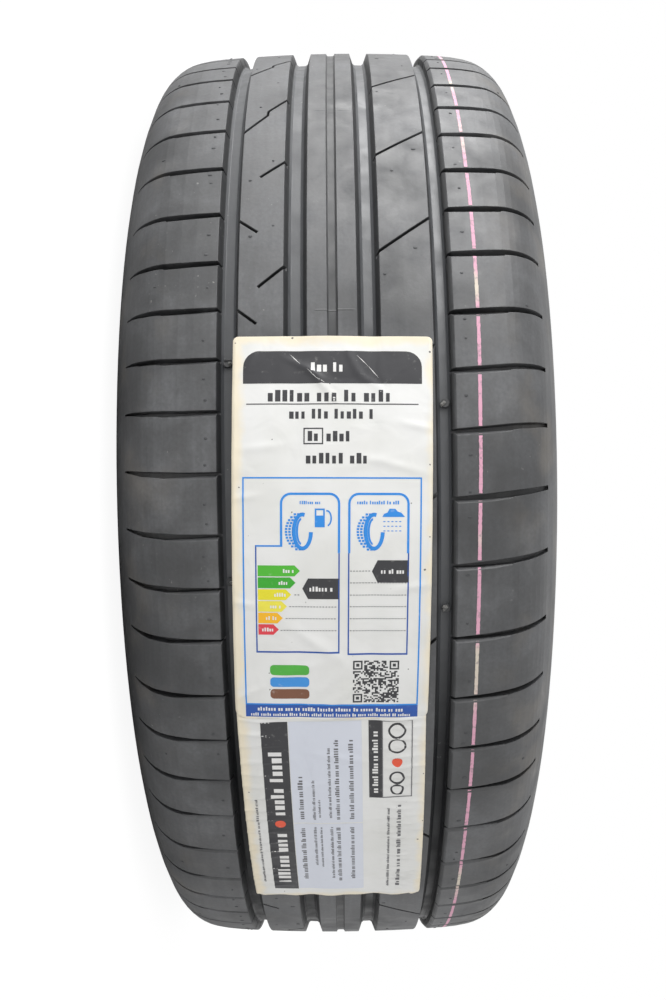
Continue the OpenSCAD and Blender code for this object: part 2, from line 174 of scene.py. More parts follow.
def moulded_rubber(look):
    """Cured carbon-black rubber as it left the mould: nearly black, with a broad dull sheen."""
    material, tree, shader = start_material("moulded tread rubber", roughness=0.58, ior=1.8)
    place = add(tree, "TexCoord").outputs["Object"]
    split = add(tree, "SeparateXYZ", None, {0: place})
    across = add(tree, "Math", {"operation": "ABSOLUTE"}, {0: split.outputs["Z"]})
    flat = add(tree, "VectorMath", TIMES, {0: place, 1: (1, 1, 0)})
    radius = add(tree, "VectorMath", {"operation": "LENGTH"}, {0: flat}).outputs["Value"]
    back = add(tree, "Math", TIMES, {0: split.outputs["Y"], 1: -1.0})
    turn = add(tree, "Math", {"operation": "ARCTAN2"}, {0: split.outputs["X"], 1: back})

    # Depth under the crown tells the floors and walls of the main grooves from the ribs. The main
    # grooves end 68 mm from the middle plane and are almost 8 mm deep.
    square = add(tree, "Math", TIMES, {0: split.outputs["Z"], 1: split.outputs["Z"]})
    crown = add(tree, "Math", {"operation": "MULTIPLY_ADD"},
                {0: square, 1: -0.5 / (CROWN_R * MM), 2: OUTER_R * MM})
    depth = add(tree, "Math", MINUS, {0: crown, 1: radius})
    inner = add(tree, "MapRange", SMOOTH, {"Value": across, "From Min": 68.8 * MM, "From Max": 67.4 * MM})
    deep = add(tree, "MapRange", SMOOTH, {"Value": depth, "From Min": 5.4 * MM, "From Max": 7.3 * MM})
    floor = add(tree, "Math", TIMES, {0: deep, 1: inner})
    below = add(tree, "MapRange", SMOOTH, {"Value": depth, "From Min": 0.4 * MM, "From Max": 1.8 * MM})
    under = add(tree, "Math", TIMES, {0: below, 1: inner})
    # Painted shade: the walls of the main grooves are coloured nearly black for the shade that falls between
    # the ribs
    wall_shade = add(tree, "Math", MINUS, {0: under, 1: floor})

    # Bloom and handling leave soft pale and dark areas, some as wide as a block and some smaller
    cloud = add(tree, "TexNoise", None, {"Vector": place, "Scale": grain_scale(42), "Detail": 3.0})
    cloudy = add(tree, "MapRange", SMOOTH, {"Value": cloud, "From Min": 0.34, "From Max": 0.62})
    base = add(tree, "Mix", COLOURS, {0: cloudy, MIX_A: look.rubber_dark, MIX_B: look.rubber_pale})
    smudge = add(tree, "TexNoise", None,
                 {"Vector": place, "Scale": grain_scale(11), "Detail": 5.0, "Distortion": 0.5})
    smudged = add(tree, "MapRange", SMOOTH,
                  {"Value": smudge, "From Min": 0.36, "From Max": 0.68, "To Min": 0.72, "To Max": 1.22})
    # Release agent was wiped off round the tread, which leaves long faint streaks
    round_way = add(tree, "Math", TIMES, {0: turn, 1: 0.03})
    wiped = add(tree, "CombineXYZ", None, {0: round_way, 1: split.outputs["Z"], 2: radius})
    streak = add(tree, "TexNoise", None, {"Vector": wiped, "Scale": grain_scale(2.6), "Detail": 3.0})
    streaked = add(tree, "MapRange", None,
                   {"Value": streak, "From Min": 0.3, "From Max": 0.7, "To Min": 0.86, "To Max": 1.12})
    # The mould's blasted face gives a fine grain, drawn at 1.2 mm so that it shows
    grain = add(tree, "TexNoise", None, {"Vector": place, "Scale": grain_scale(1.2), "Detail": 2.0})
    grained = add(tree, "MapRange", None,
                  {"Value": grain, "From Min": 0.3, "From Max": 0.7, "To Min": 0.86, "To Max": 1.14})
    for shade in (smudged, streaked, grained):
        base = add(tree, "Mix", SHADES, {0: 1.0, MIX_A: base.outputs[MIX_RESULT], MIX_B: shade})

    # Painted shade: the floors of the main grooves on the lower half, which is the +X side, are coloured
    # nearly black and their specular level is lowered, for the shade that falls there
    downward = add(tree, "Math", {"operation": "DIVIDE"}, {0: split.outputs["X"], 1: radius})
    lower = add(tree, "MapRange", SMOOTH, {"Value": downward, "From Min": 0.12, "From Max": 0.46})
    painted_floor_shade = add(tree, "Math", TIMES, {0: floor, 1: lower})
    shaded_specular = add(tree, "MapRange", None, {"Value": painted_floor_shade, "To Min": 0.5, "To Max": 0.14})
    tree.links.new(shaded_specular.outputs[0], shader.inputs["Specular IOR Level"])

    # Brownish dust lies on the shoulders, and pale chalky specks in a few patches
    shoulder = add(tree, "MapRange", SMOOTH, {"Value": across, "From Min": 80 * MM, "From Max": 112 * MM})
    drift = add(tree, "TexNoise", None, {"Vector": place, "Scale": grain_scale(20), "Detail": 5.0})
    dusty = add(tree, "MapRange", SMOOTH,
                {"Value": drift, "From Min": 0.48, "From Max": 0.74, "To Min": 0.0, "To Max": 0.22})
    dust = add(tree, "Math", TIMES, {0: shoulder, 1: dusty})
    chalk_and_peg_highlight = add(tree, "TexNoise", None, {"Vector": place, "Scale": grain_scale(1.5), "Detail": 1.0})
    speck = add(tree, "MapRange", SMOOTH, {"Value": chalk_and_peg_highlight, "From Min": 0.71, "From Max": 0.8})
    patch = add(tree, "TexNoise", None, {"Vector": place, "Scale": grain_scale(30), "Detail": 2.0})
    where = add(tree, "MapRange", SMOOTH,
                {"Value": patch, "From Min": 0.55, "From Max": 0.7, "To Min": 0.0, "To Max": 0.45})
    specked = add(tree, "Math", TIMES, {0: speck, 1: where})
    # The smooth floors of the main grooves look slightly blue. Their walls, and the floors on the lower half,
    # get a nearly black painted shade
    for mask, colour in ((floor, look.groove_floor), (wall_shade, look.painted_groove_shade),
                         (painted_floor_shade, look.painted_groove_shade), (dust, look.dust), (specked, look.chalk_and_peg_highlight)):
        base = add(tree, "Mix", COLOURS, {0: mask, MIX_A: base.outputs[MIX_RESULT], MIX_B: colour})
    tree.links.new(base.outputs[MIX_RESULT], shader.inputs["Base Color"])

    # The sheen is uneven on the ribs and closer on the groove floors
    dull = add(tree, "MapRange", None,
               {"Value": smudge, "From Min": 0.3, "From Max": 0.7, "To Min": 0.42, "To Max": 0.68})
    rough = add(tree, "Math", {"operation": "MULTIPLY_ADD"}, {0: floor, 1: -0.07, 2: dull})
    tree.links.new(rough.outputs[0], shader.inputs["Roughness"])

    # The grain again as height, and slow waves of the face
    waves = add(tree, "TexNoise", None, {"Vector": place, "Scale": grain_scale(14), "Detail": 2.0})
    slow = add(tree, "Math", TIMES, {0: waves, 1: 0.4 * MM})
    height = add(tree, "Math", {"operation": "MULTIPLY_ADD"}, {0: grain, 1: 0.08 * MM, 2: slow})
    # Fitting ribs round each bead
    low = add(tree, "MapRange", SMOOTH, {"Value": radius, "From Min": 291 * MM, "From Max": 288 * MM})
    outer = add(tree, "MapRange", SMOOTH, {"Value": across, "From Min": 98 * MM, "From Max": 102 * MM})
    near_bead = add(tree, "Math", TIMES, {0: low, 1: outer})
    phase = add(tree, "Math", TIMES, {0: radius, 1: 2 * math.pi / (FITTING_RIB_PITCH * MM)})
    ripple = add(tree, "Math", {"operation": "SINE"}, {0: phase})
    ribs = add(tree, "Math", TIMES, {0: ripple, 1: near_bead})
    height = add(tree, "Math", {"operation": "MULTIPLY_ADD"}, {0: ribs, 1: 0.25 * MM, 2: height})
    # Thin mould joints cross the centre rib at even steps round the tread. The gap to the nearest one
    # is an angle.
    joint_step = 2 * math.pi / MOULD_JOINTS
    from_joint = add(tree, "Math", PLUS, {0: turn, 1: math.radians(look.joint_turn)})
    gap = add(tree, "Math", {"operation": "PINGPONG"}, {0: from_joint, 1: joint_step / 2})
    thin = add(tree, "MapRange", SMOOTH,
               {"Value": gap, "From Min": 0.584 / OUTER_R, "From Max": 0.146 / OUTER_R})
    short = add(tree, "MapRange", SMOOTH, {"Value": across, "From Min": 12 * MM, "From Max": 9.5 * MM})
    joint = add(tree, "Math", TIMES, {0: thin, 1: short})
    height = add(tree, "Math", {"operation": "MULTIPLY_ADD"}, {0: joint, 1: 0.3 * MM, 2: height})
    rounded = add(tree, "Bevel", {"samples": 4}, {"Radius": look.edge_round})
    bump = add(tree, "Bump", None, {"Height": height, "Strength": 0.7, "Distance": 1.0, "Normal": rounded})
    tree.links.new(bump.outputs[0], shader.inputs["Normal"])
    return material


def cockles(tree, sheet):
    """Height of the slow cockles that damp leaves in the paper, which the ink on it follows."""
    wave = add(tree, "TexNoise", None,
               {"Vector": sheet, "Scale": grain_scale(13), "Detail": 2.0, "Distortion": 0.8})
    return add(tree, "Math", TIMES, {0: wave, 1: 1.1 * MM})


# Half the width over which the stain along an edge fades, in millimetres
STAIN_FADE = 3.0


def label_paper(name, sticker, margins, look):
    """Coated label paper, gone cream along the edges where it was handled and stored."""
    material, tree, shader = start_material(name, roughness=0.45, ior=1.45)
    sheet = add(tree, "UVMap", {"uv_map": "sheet"})
    split = add(tree, "SeparateXYZ", None, {0: sheet})
    blotch = add(tree, "TexNoise", None, {"Vector": sheet, "Scale": grain_scale(10), "Detail": 4.0})
    wander = add(tree, "Math", {"operation": "MULTIPLY_ADD"}, {0: blotch, 1: 11 * MM, 2: -5.5 * MM})
    cream = None
    half_w = sticker.width / 2
    half_l = sticker.length / 2
    edges = (("X", 1, half_w), ("X", -1, half_w), ("Y", 1, half_l), ("Y", -1, half_l))
    for (axis, way, half), margin in zip(edges, margins):
        inset = add(tree, "Math", {"operation": "MULTIPLY_ADD"},
                    {0: split.outputs[axis], 1: way, 2: half * MM})
        loose = add(tree, "Math", PLUS, {0: inset, 1: wander})
        stained = add(tree, "MapRange", SMOOTH,
                      {"Value": loose, "From Min": (margin + STAIN_FADE) * MM,
                       "From Max": (margin - STAIN_FADE) * MM})
        if cream is not None:
            stained = add(tree, "Math", {"operation": "MAXIMUM"}, {0: cream, 1: stained})
        cream = stained
    cloud = add(tree, "TexNoise", None, {"Vector": sheet, "Scale": grain_scale(28), "Detail": 3.0})
    cloudy = add(tree, "MapRange", SMOOTH, {"Value": cloud, "From Min": 0.35, "From Max": 0.7})
    base = add(tree, "Mix", COLOURS, {0: cloudy, MIX_A: look.paper_white, MIX_B: look.paper_dull})
    # A few dark specks of rubber dust
    dots = add(tree, "TexNoise", None, {"Vector": sheet, "Scale": grain_scale(1.6), "Detail": 0.0})
    dot = add(tree, "MapRange", SMOOTH, {"Value": dots, "From Min": 0.85, "From Max": 0.88})
    for mask, colour in ((cream, look.paper_cream), (dot, look.speck)):
        base = add(tree, "Mix", COLOURS, {0: mask, MIX_A: base.outputs[MIX_RESULT], MIX_B: colour})
    tree.links.new(base.outputs[MIX_RESULT], shader.inputs["Base Color"])
    # The paper's fibre, drawn at 1.5 mm so that it shows
    fibre = add(tree, "TexNoise", None, {"Vector": sheet, "Scale": grain_scale(1.5), "Detail": 2.0})
    height = add(tree, "Math", {"operation": "MULTIPLY_ADD"},
                 {0: fibre, 1: 0.012 * MM, 2: cockles(tree, sheet)})
    bump = add(tree, "Bump", None, {"Height": height, "Strength": 0.8, "Distance": 1.0})
    tree.links.new(bump.outputs[0], shader.inputs["Normal"])
    return material


def printed_ink(name, colour, worn):
    """Flexographic ink on coated paper, a little thin where it was rubbed, and cockled with the paper."""
    material, tree, shader = start_material(name, roughness=0.42, ior=1.5)
    sheet = add(tree, "UVMap", {"uv_map": "sheet"})
    rub = add(tree, "TexNoise", None, {"Vector": sheet, "Scale": grain_scale(2.4), "Detail": 4.0})
    rubbed = add(tree, "MapRange", SMOOTH,
                 {"Value": rub, "From Min": 0.6, "From Max": 0.85, "To Min": 0.0, "To Max": 0.3})
    base = add(tree, "Mix", COLOURS, {0: rubbed, MIX_A: srgb(colour), MIX_B: srgb(worn)})
    tree.links.new(base.outputs[MIX_RESULT], shader.inputs["Base Color"])
    bump = add(tree, "Bump", None, {"Height": cockles(tree, sheet), "Strength": 0.8, "Distance": 1.0})
    tree.links.new(bump.outputs[0], shader.inputs["Normal"])
    return material


def marking_paint(look):
    """Thin marking paint rolled onto the tread, pale and patchy over the rubber."""
    material, tree, shader = start_material("rolled marking paint", roughness=0.6, ior=1.48)
    place = add(tree, "TexCoord").outputs["Object"]
    length = add(tree, "TexNoise", None, {"Vector": place, "Scale": grain_scale(36), "Detail": 2.0})
    faded = add(tree, "MapRange", SMOOTH, {"Value": length, "From Min": 0.55, "From Max": 0.66})
    base = add(tree, "Mix", COLOURS, {0: faded, MIX_A: look.pink, MIX_B: look.cream})
    wear = add(tree, "TexNoise", None, {"Vector": place, "Scale": grain_scale(1.4), "Detail": 2.0})
    thin = add(tree, "MapRange", SMOOTH,
               {"Value": wear, "From Min": 0.5, "From Max": 0.72, "To Min": 0.0, "To Max": 0.6})
    base = add(tree, "Mix", COLOURS, {0: thin, MIX_A: base.outputs[MIX_RESULT], MIX_B: look.thin})
    tree.links.new(base.outputs[MIX_RESULT], shader.inputs["Base Color"])
    return material


def mottled_rubber(name, roughness, ior, dark, pale):
    """Rubber that was cut open after it left the mould, mottled like its broken grain. In pale colours it
    paints the highlight on the pegs.
    """
    material, tree, shader = start_material(name, roughness, ior)
    place = add(tree, "TexCoord").outputs["Object"]
    torn = add(tree, "TexNoise", None, {"Vector": place, "Scale": grain_scale(1), "Detail": 2.0})
    base = add(tree, "Mix", COLOURS, {0: torn, MIX_A: dark, MIX_B: pale})
    tree.links.new(base.outputs[MIX_RESULT], shader.inputs["Base Color"])
    return material


def pale_ground():
    """Matt pale ground. The camera sees it white, with a trace of the object's soft shadow, and the
    object sees a plain grey floor that doesn't light its underside."""
    material = bpy.data.materials.new("matt pale ground")
    material.use_nodes = True
    tree = material.node_tree
    tree.nodes.clear()
    grey = add(tree, "BsdfDiffuse", None, {"Color": srgb("#e4e4e4")})
    faint = add(tree, "BsdfDiffuse", None, {"Color": srgb("#6c6c6c")})
    white = add(tree, "Emission", None, {"Color": (1, 1, 1, 1), "Strength": 0.92})
    seen = add(tree, "AddShader", None, {0: faint, 1: white})
    rays = add(tree, "LightPath")
    shown = add(tree, "MixShader", None, {0: rays.outputs["Is Camera Ray"], 1: grey, 2: seen})
    add(tree, "OutputMaterial", None, {0: shown})
    return material


# Settings that a user would change

def tint(name, description, colour):
    """A colour that a user can set, from an sRGB hex value."""
    return bpy.props.FloatVectorProperty(name=name, description=description, default=srgb(colour), size=4,
                                         min=0, max=1, subtype="COLOR")


class TyreLook(bpy.types.PropertyGroup):
    """Colours and sizes of the rubber"""
    rubber_dark: tint("Dark rubber", "Darker areas of the tread rubber", "#2f3032")
    rubber_pale: tint("Pale rubber", "Paler areas of the tread rubber", "#4d4e50")
    groove_floor: tint("Groove floors", "Floors of the main grooves", "#434548")
    # Painted shade: nearly black, for the walls of the main grooves and for the floors on the lower half
    painted_groove_shade: tint("Groove walls", "Walls of the main grooves", "#1c1d1f")
    dust: tint("Dust", "Brownish dust on the shoulders", "#857b6c")
    # Also the pale end of the painted highlight on the pegs
    chalk_and_peg_highlight: tint("Specks", "Pale specks on the rubber", "#a5a49f")
    stub_dark: tint("Dark stubs", "Darker parts of the vent stubs", "#343537")
    stub_pale: tint("Pale stubs", "Paler parts of the vent stubs", "#4a4b4d")
    edge_round: bpy.props.FloatProperty(
        name="Edge rounding", description="Radius of the moulded edges", default=0.6 * MM,
        min=0.1 * MM, max=1.5 * MM, unit="LENGTH")
    vent_d: bpy.props.FloatProperty(
        name="Vent mark", description="Diameter of the vent stubs", default=1.6 * MM,
        min=0.8 * MM, max=3 * MM, unit="LENGTH")
    joint_turn: bpy.props.FloatProperty(
        name="Mould joint", description="Turn from a mould joint to the front, in degrees", default=18.0,
        min=0, max=26)


class StickerLook(bpy.types.PropertyGroup):
    """Colours and creases of the paper"""
    paper_white: tint("Paper", "Clean label paper", "#e6e6e4")
    paper_dull: tint("Dull paper", "Duller areas of the paper", "#dededa")
    paper_cream: tint("Cream paper", "Edges of the paper that have aged", "#ece2cb")
    speck: tint("Specks", "Rubber dust on the paper", "#6a6864")
    crease: bpy.props.FloatProperty(
        name="Creases", description="Height of the creases, as a factor", default=2.2,
        min=0, max=3, subtype="FACTOR")


class LineLook(bpy.types.PropertyGroup):
    """Colours and width of the painted line"""
    pink: tint("Pink", "Fresh marking paint", "#d9a1b7")
    cream: tint("Cream", "Faded marking paint", "#d2c8b8")
    thin: tint("Thin paint", "Places where the rubber shows through", "#8a7f82")
    width: bpy.props.FloatProperty(
        name="Width", description="Width of the painted line", default=2.0 * MM,
        min=1 * MM, max=5 * MM, unit="LENGTH")


class StudioLook(bpy.types.PropertyGroup):
    """Lens and light"""
    lens: bpy.props.FloatProperty(
        name="Lens", description="Focal length in millimetres", default=37.79, min=20, max=120, unit="CAMERA")
    lamps: bpy.props.FloatProperty(
        name="Lamps", description="Power of the row of lamps, as a factor", default=1.0, min=0, max=5,
        subtype="FACTOR")
    sky: bpy.props.FloatProperty(
        name="Sky", description="Strength of the even light from all round", default=0.85, min=0, max=3)


# Camera and studio

# The camera stands at this place in the photograph's own axes (right, up, towards the camera),
# in millimetres from the tyre's centre, with the tyre turned by the yaw and roll.
CAMERA_PLACE = (-4.0, 7.6, 950.0)
CAMERA_PITCH = 4.10
TYRE_YAW = -0.29
TYRE_ROLL = 0.71
CAMERA_SHIFT = 0.0711


def photo_camera(lens):
    """The camera at the photograph's viewing angle."""
    axes = Matrix(((0, -1, 0), (0, 0, -1), (1, 0, 0)))
    yawed = Matrix.Rotation(math.radians(TYRE_YAW), 3, "Y")
    turned = Matrix.Rotation(math.radians(TYRE_ROLL), 3, "Z") @ yawed
    seen = Matrix.Rotation(math.radians(CAMERA_PITCH), 3, "X") @ turned
    rotation = axes @ seen.transposed()
    place = axes @ (turned.transposed() @ Vector(CAMERA_PLACE)) * MM
    data = bpy.data.cameras.new("photo_camera")
    data.sensor_width = 36
    data.lens = lens
    data.shift_y = CAMERA_SHIFT
    data.clip_start = 0.05
    camera = bpy.data.objects.new("photo_camera", data)
    camera.matrix_world = Matrix.Translation(place) @ rotation.to_4x4()
    bpy.context.scene.collection.objects.link(camera)
    bpy.context.scene.camera = camera


def soft_lamp(name, place, size, power):
    """A round lamp that looks at the tyre's centre."""
    data = bpy.data.lights.new(name, "AREA")
    data.shape = "DISK"
    data.size = size
    data.energy = power
    lamp = bpy.data.objects.new(name, data)
    lamp.location = place
    lamp.rotation_euler = (-Vector(place)).to_track_quat("-Z", "Y").to_euler()
    bpy.context.scene.collection.objects.link(lamp)


# Lamps: [name, angle over the tyre from the camera's side in degrees, height, diameter, watts].
# Their height, diameter and reach, and the floor's half side and its gap under the tyre, are in metres.
LAMPS = (("front_top_lamp", 40, 0.5, 1.3, 4.4), ("high_lamp", 65, 0.5, 1.3, 20.0),
         ("back_top_lamp", 95, 0.3, 1.1, 14.0))
LAMP_REACH = 2.0
FLOOR_HALF = 3.0
FLOOR_GAP = 0.0002


class CARTYRE_OT_studio(bpy.types.Operator):
    """Adds the camera, the soft lamp, the even sky and the pale floor"""
    bl_idname = "cartyre.studio"
    bl_label = "Studio"

    def execute(self, context):
        look = context.scene.cartyre_studio
        photo_camera(look.lens)
        # The picture's top is the -X side, and the lamps stand in a row over it
        for name, angle, high, size, power in LAMPS:
            back = math.radians(angle)
            place = (-LAMP_REACH * math.sin(back), -LAMP_REACH * math.cos(back), high)
            soft_lamp(name, place, size, power * look.lamps)
        world = bpy.data.worlds.new("even_sky")
        context.scene.world = world
        world.use_nodes = True
        tree = world.node_tree
        tree.nodes.clear()
        sky = add(tree, "Background", None, {"Color": (1, 1, 1, 1), "Strength": look.sky})
        white = add(tree, "Background", None, {"Color": (1, 1, 1, 1), "Strength": 1.0})
        rays = add(tree, "LightPath")
        shown = add(tree, "MixShader", None, {0: rays.outputs["Is Camera Ray"], 1: sky, 2: white})
        add(tree, "OutputWorld", None, {0: shown})

        low = TYRE_LOW.z - FLOOR_GAP
        corners = box_of(-FLOOR_HALF, -FLOOR_HALF, FLOOR_HALF, FLOOR_HALF)
        mesh = bpy.data.meshes.new("floor")
        mesh.from_pydata([(x, y, low) for x, y in corners], [], [(0, 1, 2, 3)])
        mesh.materials.append(pale_ground())
        floor = bpy.data.objects.new("floor", mesh)
        context.scene.collection.objects.link(floor)
        return {"FINISHED"}


# Tyre

class CARTYRE_OT_rubber(bpy.types.Operator):
    """Gives the tyre its moulded rubber"""
    bl_idname = "cartyre.rubber"
    bl_label = "Rubber"

    def execute(self, context):
        look = context.scene.cartyre_tyre
        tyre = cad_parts["tyre"]
        tyre.data.materials.clear()
        tyre.data.materials.append(moulded_rubber(look))
        return {"FINISHED"}


# Stickers

# Spacing of the cuts across and along a sticker, and how near to a cut a corner counts as on it
CUT_ACROSS = 2.0
CUT_ALONG = 1.25
CUT_NEAR = 1e-5
# The paper's edges lift by up to this much in waves, and the lift fades over this distance
EDGE_LIFT = 0.45
EDGE_FADE = 2.5
# Distance over which a curled foot fades
FOOT_FADE = 2.6


class Sticker:
    """A paper sticker: its middle [across, turn], its tip in degrees, its size, its lift over the
    tread, its creases and the height of its curled foot."""

    def __init__(self, name, across, turn, tip, width, length, lift, creases, curl):
        self.name = name
        self.across = across
        self.turn = turn
        self.tip = math.radians(tip)
        self.width = width
        self.length = length
        self.lift = lift
        self.creases = creases
        self.curl = curl
        self.known = {}

    def height(self, x, y):
        """Rise of the paper, taken between the corners of the cut grid, so that the print lies on it."""
        i = math.floor(x / CUT_ACROSS)
        j = math.floor(y / CUT_ALONG)
        u = x / CUT_ACROSS - i
        v = y / CUT_ALONG - j
        low = self.corner(i, j) * (1 - u) + self.corner(i + 1, j) * u
        high = self.corner(i, j + 1) * (1 - u) + self.corner(i + 1, j + 1) * u
        return low * (1 - v) + high * v

    def corner(self, i, j):
        """Rise of the paper at a corner of the cut grid."""
        if (i, j) not in self.known:
            self.known[i, j] = self.rise(i * CUT_ACROSS, j * CUT_ALONG)
        return self.known[i, j]

    def rise(self, x, y):
        """Rise of the paper over the tread, with its creases, sags and curled foot."""
        rise = self.lift
        for cx, cy, angle, long, wide, high in self.creases:
            c = math.cos(math.radians(angle))
            s = math.sin(math.radians(angle))
            u = ((x - cx) * c + (y - cy) * s) / long
            v = ((y - cy) * c - (x - cx) * s) / wide
            if u * u + v * v < 9:
                rise += high * math.exp(-u * u - v * v)
        for across, wide, deep in GROOVE_SAGS:
            rise -= deep * math.exp(-((x + self.across - across) / wide) ** 2)
        # Waves about 33 mm long lift the edges, and waves of 39 mm run along the curled foot
        edge = max(min(self.width / 2 - abs(x), self.length / 2 - y), 0)
        rise += EDGE_LIFT * math.exp(-edge / EDGE_FADE) * (0.5 + 0.5 * math.sin(y * 0.19 + x * 0.11))
        foot = max(y + self.length / 2, 0)
        rise += self.curl * math.exp(-foot / FOOT_FADE) * (0.7 + 0.3 * math.sin(x * 0.16 + 1.0))
        return rise

    def point(self, x, y, over=0.0):
        """Point of the tyre's frame over a place on the flat sheet."""
        across = self.across + x * math.cos(self.tip) - y * math.sin(self.tip)
        turn = self.turn + (x * math.sin(self.tip) + y * math.cos(self.tip)) / DEGREE
        return at(across, turn, face_radius(across) + self.height(x, y) + over)


UPPER_TURN = -2.1
UPPER_LEN = 223.0
LOWER_LEN = 176.0
# Length of the lower sticker's head that lies under the upper one
LAP = 8.0
LOWER_TURN = UPPER_TURN - (UPPER_LEN / 2 - LAP + LOWER_LEN / 2) / DEGREE
# Sags over the two inner grooves: [across, half width, depth]
GROOVE_SAGS = [(-22.4, 6.0, 0.45), (19.5, 6.0, 0.45)]
# Creases: [x, y, angle, half length, half width, height]
UPPER_CREASES = [(-6, 84, -52, 12, 1.3, 0.6), (-14, 92, -30, 12, 1.5, 0.4), (12, 95, -65, 10, 1.4, 0.4),
                 (22, 84, -40, 10, 2.0, 0.3), (-46, 96, 60, 9, 1.6, 0.5), (-50, 20, 8, 9, 2.2, 0.35),
                 (48, 60, -12, 9, 2.0, 0.35), (36, 38, -14, 14, 2.4, 0.35), (20, 40, 12, 16, 3.0, 0.25),
                 (-20, -80, 20, 16, 3.0, 0.35), (-8, -64, -35, 18, 3.0, 0.4), (46, -30, 10, 10, 2.2, 0.4),
                 (30, -104, -5, 22, 2.6, 0.4), (-48, -95, 30, 10, 2.0, 0.55), (2, -84, 55, 12, 2.0, 0.45),
                 (6, -96, 40, 12, 2.2, 0.4), (-50, -40, -10, 8, 2.0, 0.35), (-38, 48, 6, 12, 2.4, 0.3)]
LOWER_CREASES = [(10, 10, 25, 20, 3.5, 0.45), (-10, -80, 4, 26, 2.2, 0.4), (0, -40, -20, 18, 3.5, 0.35),
                 (-18, 30, 15, 16, 2.6, 0.4), (6, 52, -12, 16, 2.4, 0.4), (12, -62, 8, 16, 2.2, 0.4)]


def side_creases(seed):
    """Short folds that run in from both sides of the lower sticker, where it was bent."""
    rng = random.Random(seed)
    folds = []
    # Each side: [middle of its folds, step from fold to fold]
    for side, step in ((-48, 9.5), (42, 6.5)):
        y = -84.0
        while y < 80:
            folds.append((side + rng.uniform(-3, 3), y, rng.uniform(-8, 10), rng.uniform(7, 15),
                          rng.uniform(0.9, 1.5), rng.uniform(0.5, 1.1)))
            y += step * rng.uniform(0.7, 1.3)
    return folds


def rounded_box(left, low, right, high, corner, foot_corner=None, steps=6):
    """A box with round corners, whose two lower ones may have a radius of their own."""
    head = corner
    foot = foot_corner or corner
    points = []
    for cx, cy, start, r in ((right - head, high - head, 0, head), (left + head, high - head, 90, head),
                             (left + foot, low + foot, 180, foot), (right - foot, low + foot, 270, foot)):
        for i in range(steps + 1):
            a = math.radians(start + 90 * i / steps)
            points.append((cx + r * math.cos(a), cy + r * math.sin(a)))
    return points


def sheet_outline(sticker, ripple):
    """Outline of the paper. Its foot is torn a little uneven by the ripple, in millimetres."""
    half_w = sticker.width / 2
    half_l = sticker.length / 2
    points = rounded_box(-half_w, -half_l, half_w, half_l, corner=3, foot_corner=6)
    foot = [(x, -half_l + ripple * (0.5 + 0.5 * math.sin(x * 0.21) * math.cos(x * 0.08)))
            for x in range(-48, 49, 4)]
    at_foot = [p for p in points if p[1] < -half_l + 0.01 and p[0] < 0]
    split = points.index(at_foot[-1]) + 1
    return points[:split] + foot + points[split:]


def laid_polygons(polygons):
    """Flat polygons cut along a grid, so that they can follow the paper."""
    bm = bmesh.new()
    for points in polygons:
        bm.faces.new([bm.verts.new((x, y, 0)) for x, y in points])
    for axis, spacing in ((0, CUT_ACROSS), (1, CUT_ALONG)):
        spots = [v.co[axis] for v in bm.verts]
        for i in range(math.floor(min(spots) / spacing), math.ceil(max(spots) / spacing) + 1):
            origin = Vector((0, 0, 0))
            normal = Vector((0, 0, 0))
            origin[axis] = i * spacing
            normal[axis] = 1
            near = [f for f in bm.faces if min(v.co[axis] for v in f.verts) < origin[axis] - CUT_NEAR
                    and max(v.co[axis] for v in f.verts) > origin[axis] + CUT_NEAR]
            touched = {e for f in near for e in f.edges}
            corners = {v for f in near for v in f.verts}
            bmesh.ops.bisect_plane(bm, geom=near + list(touched) + list(corners), dist=CUT_NEAR,
                                   plane_co=origin, plane_no=normal)
    bmesh.ops.triangulate(bm, faces=[f for f in bm.faces if len(f.verts) > 4])
    return bm


def laid_piece(name, sticker, polygons, over, material):
    """A new piece made of flat polygons laid on a sticker, this far over its paper."""
    bm = laid_polygons(polygons)
    uvs = [(v.co.x * MM, v.co.y * MM) for v in bm.verts]
    verts = [sticker.point(v.co.x, v.co.y, over) for v in bm.verts]
    bm.verts.index_update()
    faces = [[v.index for v in f.verts] for f in bm.faces]
    bm.free()
    # Faces are turned to look away from the axle
    outward = []
    for f in faces:
        a, b, c = verts[f[0]], verts[f[1]], verts[f[2]]
        n = (b - a).cross(c - a)
        outward.append(f if n.dot(Vector((a.x, a.y, 0))) > 0 else f[::-1])
    return make_object(name, verts, outward, material, uvs=uvs)


def box_of(left, low, right, high):
    """The four corners of a box."""
    return [(left, low), (right, low), (right, high), (left, high)]


def outline_of(left, low, right, high, stroke):
    """The four sides of a box, drawn with a stroke inside it."""
    return [box_of(left, low, right, low + stroke), box_of(left, high - stroke, right, high),
            box_of(left, low + stroke, left + stroke, high - stroke),
            box_of(right - stroke, low + stroke, right, high - stroke)]


def arch_of(left, low, right, high, corner, stroke, steps=6):
    """An open frame with two rounded upper corners, as quads."""
    outer = [(left, low)]
    inner = [(left + stroke, low)]
    for cx, start in ((left + corner, 180), (right - corner, 90)):
        for i in range(steps + 1):
            a = math.radians(start - 90 * i / steps)
            for path, reach in ((outer, corner), (inner, corner - stroke)):
                path.append((cx + reach * math.cos(a), high - corner + reach * math.sin(a)))
    outer.append((right, low))
    inner.append((right - stroke, low))
    return [[outer[i], outer[i + 1], inner[i + 1], inner[i]] for i in range(len(outer) - 1)]


def disc_of(cx, cy, rx, ry, steps=16):
    """The outline of an oval disc."""
    return [(cx + rx * math.cos(2 * math.pi * i / steps), cy + ry * math.sin(2 * math.pi * i / steps))
            for i in range(steps)]


